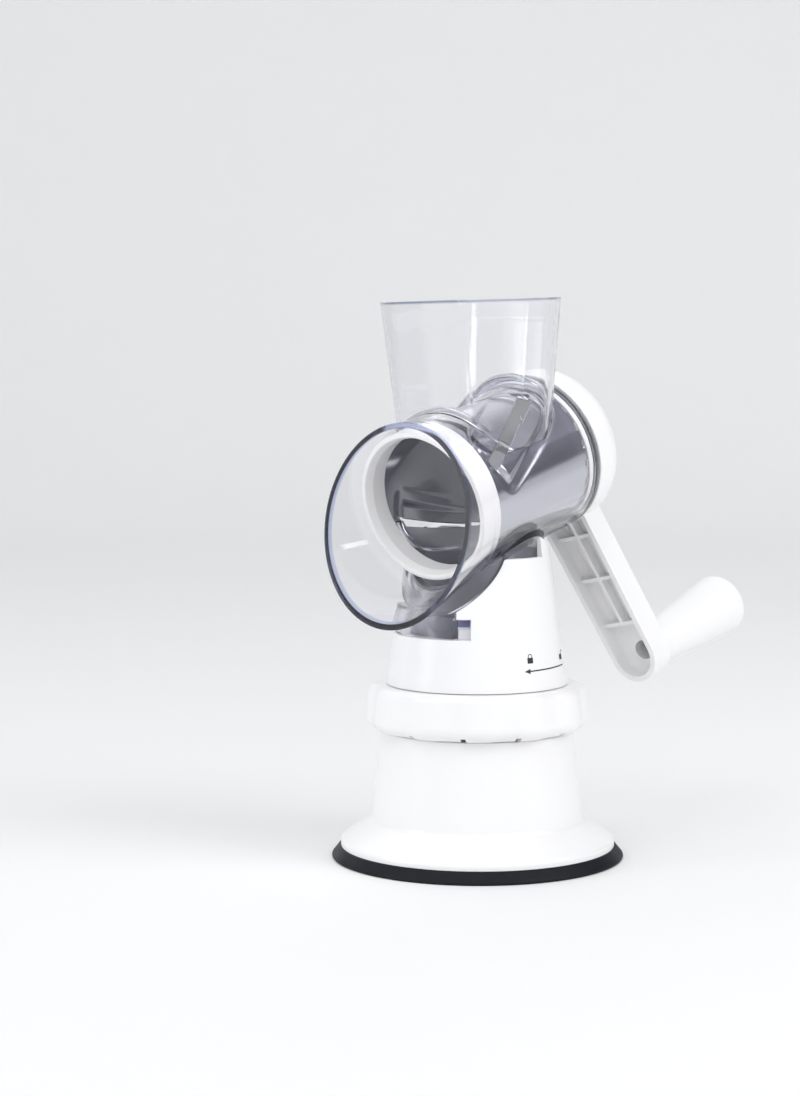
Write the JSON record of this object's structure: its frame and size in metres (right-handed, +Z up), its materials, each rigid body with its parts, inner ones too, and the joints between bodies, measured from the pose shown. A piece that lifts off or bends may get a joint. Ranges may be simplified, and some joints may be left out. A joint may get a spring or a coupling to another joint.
{
  "type": "rotary cheese grater",
  "caption": "Hand-cranked rotary drum grater: clear barrel with food chute and slanted mouth on a white column, twist-lock suction foot, crank with turning grip.",
  "frame": {"origin": "centre of the suction pad's flat underside, on the table", "axes": "+Z up along the foot's axis; -Y is the side of the slanted mouth, +Y the side of the crank"},
  "size_m": [0.1292, 0.2076, 0.2482],
  "materials": {
    "white_shell": "glossy white moulded plastic",
    "white_trim": "white moulded plastic, satin",
    "clear_plastic": "clear polished plastic with a faint blue tint",
    "stainless": "rolled stainless sheet",
    "steel": "turned or drawn steel",
    "black_rubber": "soft black rubber",
    "nylon": "natural nylon"
  },
  "bodies": {
    "base": {"base_shell": "white_shell", "column": "white_shell", "column_screws": "steel", "suction_pad": "black_rubber", "return_spring": "steel", "spring_cup": "steel", "ring_washer": "nylon"},
    "ring": {"lock_ring": "white_shell"},
    "puller": {"pull_post": "nylon", "cross_pin": "steel"},
    "housing": {"housing": "clear_plastic", "shaft_bush": "nylon"},
    "crank": {"crank": "white_shell", "drive_shaft": "steel", "crank_screw": "steel", "shaft_clip": "steel", "grip_pin": "steel", "grip_washer": "nylon"},
    "drum": {"drum_sleeve": "stainless", "drum_front_ring": "white_trim", "drum_rear_hub": "white_trim"},
    "grip": {"grip": "white_shell"}
  },
  "joints": [
    {"name": "ring_turn", "type": "hinge", "parent": "base", "child": "ring", "pos_m": [0, 0, 0.0675], "axis": [0, 0, 1], "range_deg": [-45, 0]},
    {"name": "post_lift", "type": "slide", "parent": "base", "child": "puller", "axis": [0, 0, 1], "range_m": [0, 0.003], "deforming": ["suction_pad", "return_spring"]},
    {"name": "housing_twist", "type": "hinge", "parent": "base", "child": "housing", "pos_m": [0, 0, 0.1], "axis": [0, 0, 1], "range_deg": [-30, 0]},
    {"name": "crank_spin", "type": "hinge", "parent": "housing", "child": "crank", "pos_m": [0, 0, 0.1678], "axis": [0, 0.9659, 0.2588], "continuous": true},
    {"name": "drum_pull", "type": "slide", "parent": "crank", "child": "drum", "axis": [0, -0.9659, -0.2588], "range_m": [0, 0.11]},
    {"name": "grip_spin", "type": "hinge", "parent": "crank", "child": "grip", "pos_m": [0.03622, 0.0811, 0.08921], "axis": [0, 0.9659, 0.2588], "continuous": true}
  ],
  "couplings": [
    {"joint": "post_lift", "follows": "ring_turn", "m_per_rad": -0.0038197}
  ]
}
